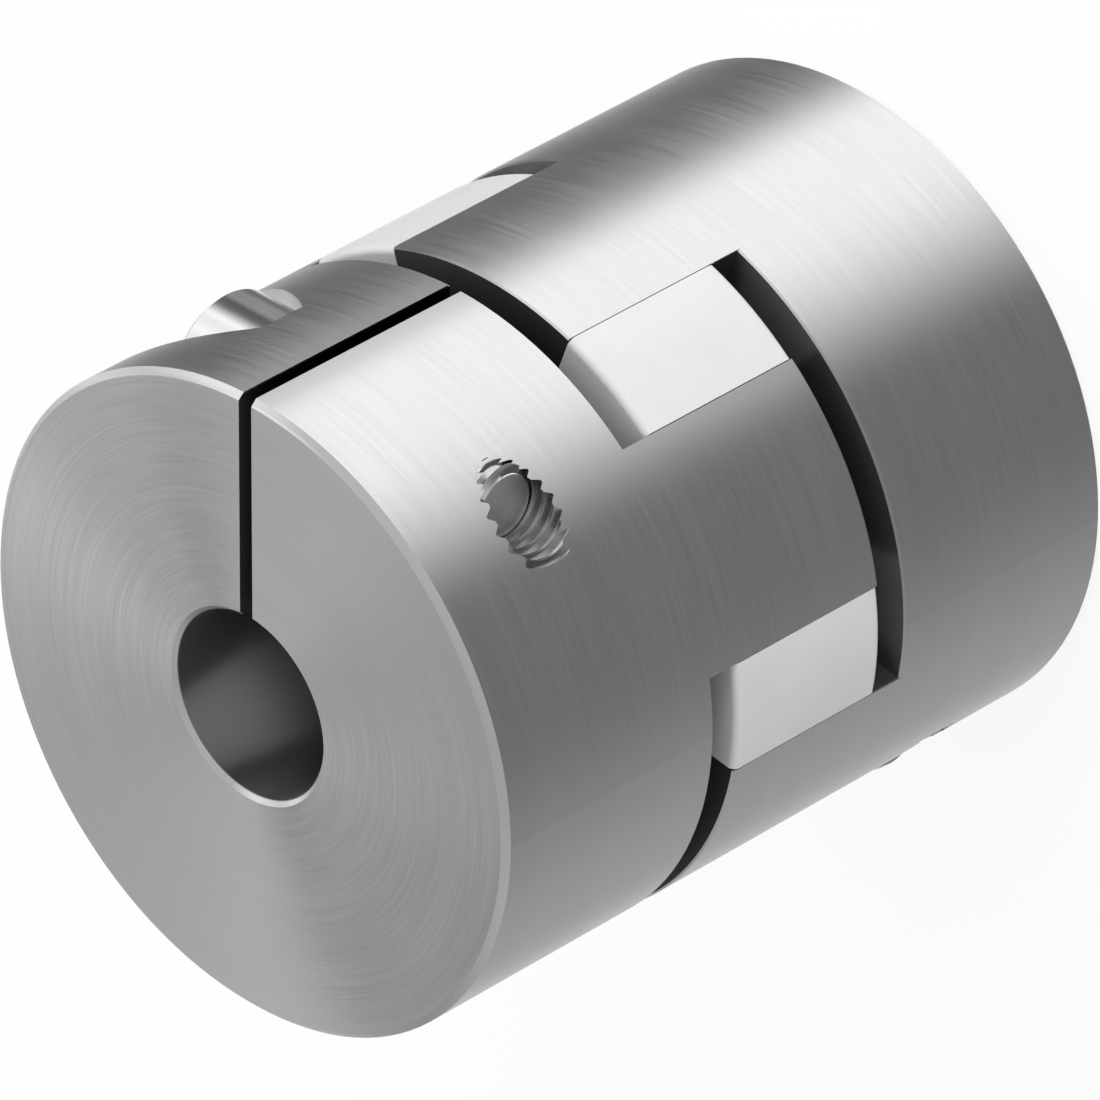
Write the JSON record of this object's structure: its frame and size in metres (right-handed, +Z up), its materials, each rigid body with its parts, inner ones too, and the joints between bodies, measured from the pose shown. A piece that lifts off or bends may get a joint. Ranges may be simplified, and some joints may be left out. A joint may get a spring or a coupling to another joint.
{
  "type": "shaft coupling",
  "caption": "Backlash-free jaw coupling that joins shafts end to end: split clamping hubs with interleaved jaws, an elastomer star between them and a cap screw across every slit.",
  "frame": {"origin": "centre of the lower hub's end face, on which the coupling stands", "axes": "+Z up along the shaft axis, +X the way the clamp screws point from head to tip, +Y towards the slit of the upper hub"},
  "size_m": [0.042, 0.042, 0.05],
  "materials": {
    "hub_aluminium": "fine turned, satin",
    "insert_elastomer": "moulded, semi-matte",
    "screw_steel": "bright zinc plated"
  },
  "bodies": {
    "root": {"upper_hub": "hub_aluminium", "lower_hub": "hub_aluminium", "star_insert": "insert_elastomer", "upper_clamp_screw": "screw_steel", "lower_clamp_screw": "screw_steel"}
  },
  "joints": []
}
